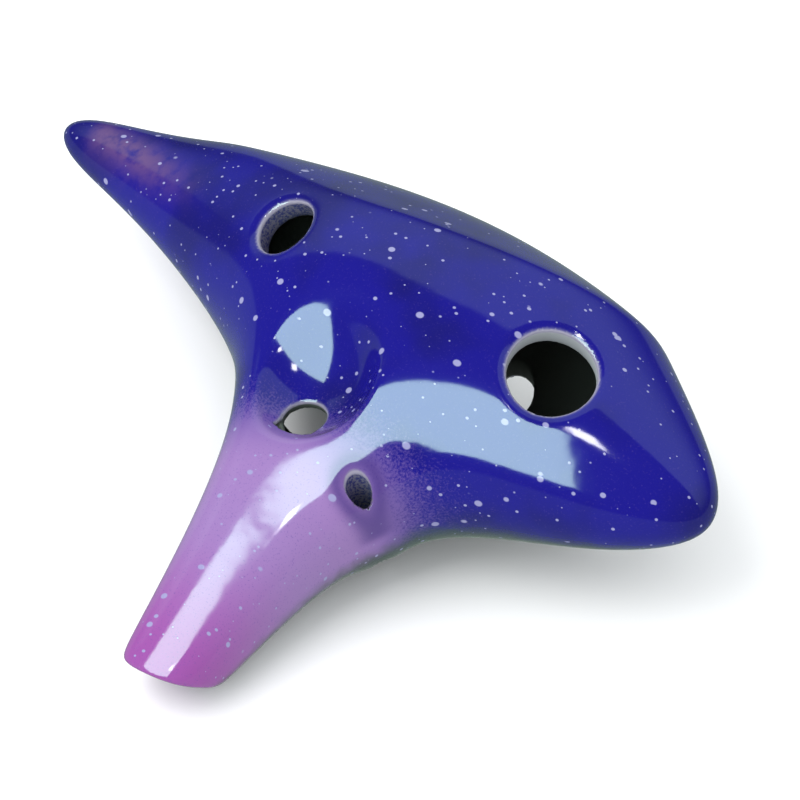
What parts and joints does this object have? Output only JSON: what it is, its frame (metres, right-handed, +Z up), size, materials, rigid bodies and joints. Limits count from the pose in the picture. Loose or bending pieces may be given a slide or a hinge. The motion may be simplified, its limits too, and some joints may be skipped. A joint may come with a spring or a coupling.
{
  "type": "ocarina",
  "caption": "Glazed ceramic transverse ocarina with a tapering tail, thumb and finger holes, a dished sound window and a cord hole beside its flared mouthpiece.",
  "frame": {"origin": "centre of the bounding box, on the surface the ocarina rests on", "axes": "+X along the chamber from the tail to the broad end, -Y towards the mouthpiece tip, +Z up out of the thumb side"},
  "size_m": [0.1414, 0.0998, 0.0456],
  "materials": {
    "thumb_glaze": "glossy ultramarine glaze with pale specks",
    "finger_glaze": "glossy dark blue glaze with pale specks",
    "stem_glaze": "glossy violet glaze, sprayed into the blue at the neck",
    "slip": "fired pale clay slip"
  },
  "bodies": {
    "root": {"thumb_shell": "thumb_glaze", "finger_shell": "finger_glaze", "shell_slip": "slip", "stem_roof": "stem_glaze", "stem_floor": "stem_glaze", "stem_slip_tail_side": "slip", "stem_slip_broad_side": "slip", "collar_slip": "slip"}
  },
  "joints": []
}
